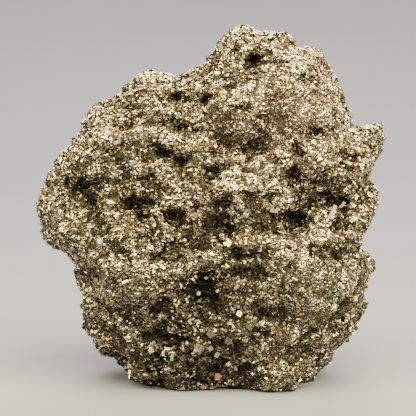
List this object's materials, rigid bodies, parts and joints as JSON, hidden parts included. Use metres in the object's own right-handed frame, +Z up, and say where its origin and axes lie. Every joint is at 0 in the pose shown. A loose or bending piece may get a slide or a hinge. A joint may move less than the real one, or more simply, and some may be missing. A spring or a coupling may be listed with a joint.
{
  "type": "pyrite specimen",
  "caption": "Rough lump of pyrite crusted all over with small intergrown cubic crystals. It stands on a flat broken base as a display piece.",
  "frame": {"origin": "on the flat it rests on, under the widest section, near the middle of that flat", "axes": "+X to the right of the display face, -Y out of the display face, +Z up"},
  "size_m": [0.14, 0.0946, 0.14],
  "materials": {
    "pyrite": "metallic, pale brassy gold; bright crystal faces over dark crevices"
  },
  "bodies": {
    "root": {"pyrite_cluster": "pyrite"}
  },
  "joints": []
}
